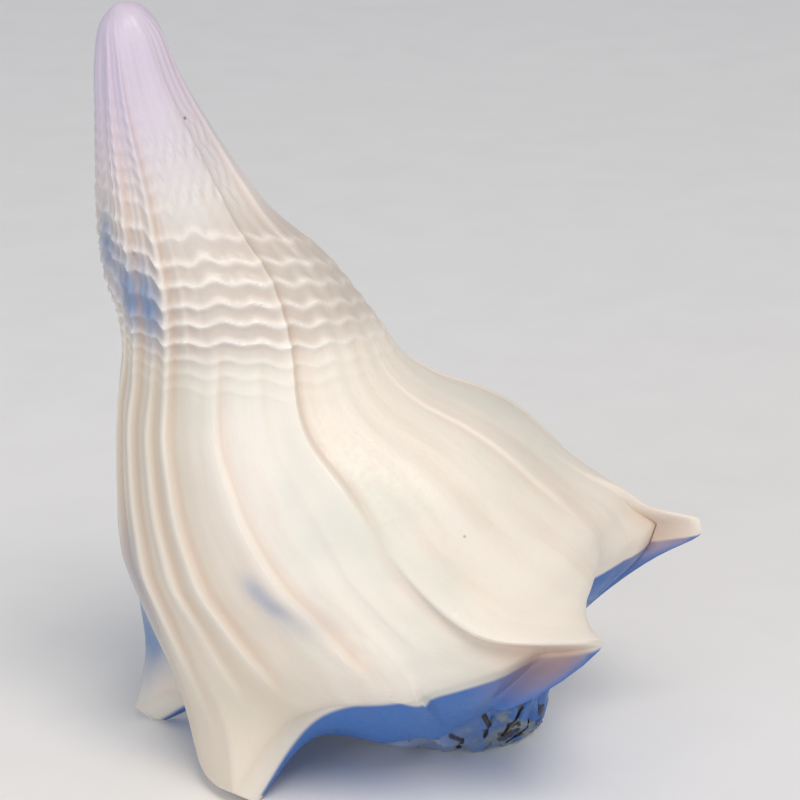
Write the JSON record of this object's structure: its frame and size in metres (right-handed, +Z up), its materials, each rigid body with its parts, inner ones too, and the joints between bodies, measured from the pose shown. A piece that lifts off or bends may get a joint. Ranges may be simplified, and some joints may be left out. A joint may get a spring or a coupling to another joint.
{
  "type": "conch shell",
  "caption": "Bleached left-handed spined conch shell with a long canal, growth folds and a deep open aperture, standing on its worn spire and spine tips.",
  "frame": {"origin": "middle of the shell's bounding box in plan, at the level of the flat it rests on", "axes": "+Z up with the canal end up, -Y toward the outer side seen in the picture, +X toward its most prominent spine"},
  "size_m": [0.1374, 0.1054, 0.1796],
  "materials": {
    "shell": "sun-bleached calcium carbonate shell, low sheen"
  },
  "bodies": {
    "root": {"conch_shell": "shell"}
  },
  "joints": []
}
